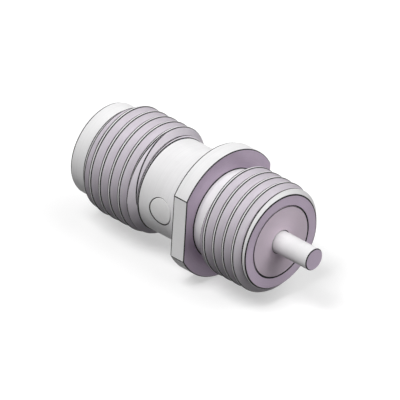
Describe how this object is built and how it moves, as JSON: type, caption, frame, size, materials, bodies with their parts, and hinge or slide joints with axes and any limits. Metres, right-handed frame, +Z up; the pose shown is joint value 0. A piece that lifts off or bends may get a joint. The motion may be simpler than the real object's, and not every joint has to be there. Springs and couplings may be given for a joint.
{
  "type": "threaded coaxial connector",
  "caption": "Female coaxial panel connector: threaded mating end, flatted flange, threaded rear end that screws into a housing, and a straight solder pin.",
  "frame": {"origin": "centre of the flange's rear face, the seat that stops against the housing", "axes": "+X along the connector's axis towards the solder pin, +Y and -Y square to the flange's wrench flats, +Z up along the flats"},
  "size_m": [0.0156, 0.0064, 0.0074],
  "materials": {
    "shell_metal": "pale passivated stainless steel, turned, satin with faced ends",
    "insulator_polymer": "white fluoropolymer, faced, matte",
    "contact_metal": "pale plated copper alloy, smooth",
    "resin": "off-white cured resin, smooth"
  },
  "bodies": {
    "root": {"shell": "shell_metal", "insulator": "insulator_polymer", "centre_contact": "contact_metal", "captivation_resin": "resin"}
  },
  "joints": []
}
